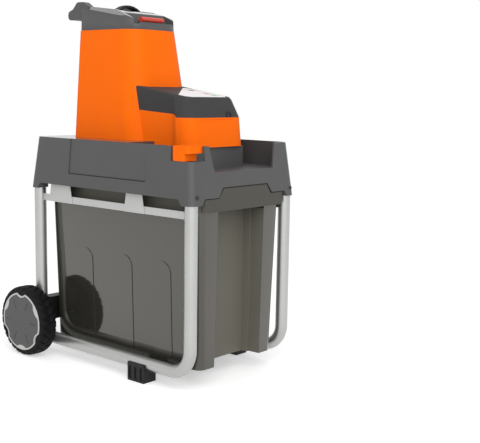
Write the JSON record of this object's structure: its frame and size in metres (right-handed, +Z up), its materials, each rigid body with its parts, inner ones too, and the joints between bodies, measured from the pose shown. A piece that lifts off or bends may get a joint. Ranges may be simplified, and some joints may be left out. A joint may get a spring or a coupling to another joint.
{
  "type": "garden shredder",
  "caption": "Wheeled garden shredder: feed tower and motor nose on a tray deck, bent-tube stand, pull-out collection box and a slow cutting drum.",
  "frame": {"origin": "on the floor, in the middle of the part's bounding box", "axes": "+Z up, -Y the front where the box pulls out, +X the right side seen by someone looking along +Y"},
  "size_m": [0.483, 0.656, 0.92],
  "materials": {
    "grey_plastic": "satin moulded grey plastic",
    "dark_plastic": "satin moulded dark grey plastic",
    "orange_plastic": "semi-gloss moulded orange plastic",
    "frame_silver": "satin silver powder coat on steel tube",
    "rail_zinc": "plain zinc-plated sheet",
    "box_plastic": "glossy smoke-grey plastic",
    "black_plastic": "matte black plastic",
    "tyre_rubber": "moulded tread",
    "pale_trim": "pale grey plastic",
    "panel_plastic": "smooth pale grey plastic",
    "bright_steel": "turned and plated",
    "blackened_steel": "black-coated steel screws",
    "cutter_steel": "machined",
    "cast_alloy": "as cast",
    "motor_red": "varnished laminations",
    "red_plastic": "glossy red plastic",
    "green_plastic": "glossy green plastic"
  },
  "bodies": {
    "stand": {"side_frame_left": "frame_silver", "side_frame_right": "frame_silver", "axle_beam": "black_plastic", "axle": "bright_steel", "axle_caps": "bright_steel", "foot_left": "black_plastic", "foot_right": "black_plastic", "guide_rail_left": "rail_zinc", "guide_rail_right": "rail_zinc", "rail_hangers": "rail_zinc", "deck": "grey_plastic", "leg_screws": "blackened_steel", "tower": "orange_plastic", "hopper_cap": "grey_plastic", "feed_chute": "dark_plastic", "nose_housing": "orange_plastic", "nose_cap": "dark_plastic", "control_panel": "panel_plastic", "switch_box": "black_plastic", "motor_stator": "motor_red", "motor_shield": "cast_alloy", "motor_bearing": "bright_steel", "gear_case": "cast_alloy", "drum_frame": "cast_alloy", "drum_bearing": "bright_steel", "discharge_chute": "dark_plastic", "capacitor": "cast_alloy", "power_inlet": "black_plastic"},
    "wheel_left": {"tyre_left": "tyre_rubber", "wheel_disc_left": "dark_plastic", "wheel_cover_left": "grey_plastic", "wheel_trim_left": "pale_trim"},
    "wheel_right": {"tyre_right": "tyre_rubber", "wheel_disc_right": "dark_plastic", "wheel_cover_right": "grey_plastic", "wheel_trim_right": "pale_trim"},
    "box": {"collection_box": "box_plastic"},
    "pusher": {"plunger": "dark_plastic", "plunger_grip": "black_plastic"},
    "drum": {"cutting_drum": "cutter_steel", "drum_shaft": "bright_steel"},
    "rotor": {"motor_rotor": "cutter_steel", "motor_shaft": "bright_steel", "cooling_fan": "black_plastic"},
    "counter": {"counter_plate": "cast_alloy"},
    "adjuster": {"adjusting_screw": "bright_steel", "adjusting_knob": "black_plastic"},
    "start": {"start_button": "green_plastic"},
    "stop": {"stop_button": "red_plastic"},
    "reset": {"reset_button": "black_plastic"},
    "rocker": {"direction_switch": "black_plastic"},
    "bar": {"release_bar": "red_plastic"},
    "lock": {"box_lock": "orange_plastic"}
  },
  "joints": [
    {"name": "wheel_left_spin", "type": "hinge", "parent": "stand", "child": "wheel_left", "pos_m": [-0.2195, 0.2365, 0.0915], "axis": [1, 0, 0], "continuous": true},
    {"name": "wheel_right_spin", "type": "hinge", "parent": "stand", "child": "wheel_right", "pos_m": [0.2195, 0.2365, 0.0915], "axis": [1, 0, 0], "continuous": true},
    {"name": "box_slide", "type": "slide", "parent": "stand", "child": "box", "axis": [0, -1, 0], "range_m": [0, 0.45]},
    {"name": "pusher_lift", "type": "slide", "parent": "stand", "child": "pusher", "axis": [0, 0, 1], "range_m": [0, 0.2]},
    {"name": "rotor_spin", "type": "hinge", "parent": "stand", "child": "rotor", "pos_m": [0, -0.15, 0.626], "axis": [0, 1, 0], "continuous": true},
    {"name": "drum_spin", "type": "hinge", "parent": "stand", "child": "drum", "pos_m": [0, 0.076, 0.626], "axis": [0, 1, 0], "continuous": true},
    {"name": "adjuster_turn", "type": "hinge", "parent": "stand", "child": "adjuster", "pos_m": [0.118, 0.076, 0.626], "axis": [1, 0, 0], "range_deg": [0, 360]},
    {"name": "counter_slide", "type": "slide", "parent": "stand", "child": "counter", "axis": [1, 0, 0], "range_m": [0, 0.004]},
    {"name": "start_press", "type": "slide", "parent": "stand", "child": "start", "axis": [0, 0.1478, -0.989], "range_m": [0, 0.002], "stiffness_N_per_m": 600, "springref_m": -0.001},
    {"name": "stop_press", "type": "slide", "parent": "stand", "child": "stop", "axis": [0, 0.1478, -0.989], "range_m": [0, 0.002], "stiffness_N_per_m": 600, "springref_m": -0.001},
    {"name": "reset_press", "type": "slide", "parent": "stand", "child": "reset", "axis": [0, 0.1478, -0.989], "range_m": [0, 0.002], "stiffness_N_per_m": 600, "springref_m": -0.001},
    {"name": "rocker_tip", "type": "hinge", "parent": "stand", "child": "rocker", "pos_m": [0.046, -0.09616, 0.69087], "axis": [0, 0.989, 0.1478], "range_deg": [-10, 10]},
    {"name": "bar_press", "type": "slide", "parent": "stand", "child": "bar", "axis": [0, 1, 0], "range_m": [0, 0.005], "stiffness_N_per_m": 500, "springref_m": -0.002},
    {"name": "lock_lift", "type": "slide", "parent": "stand", "child": "lock", "axis": [0, 0, 1], "range_m": [0, 0.012]}
  ],
  "couplings": [
    {"joint": "drum_spin", "follows": "rotor_spin", "ratio": 0.014706},
    {"joint": "adjuster_turn", "follows": "counter_slide", "rad_per_m": 1570.8}
  ]
}
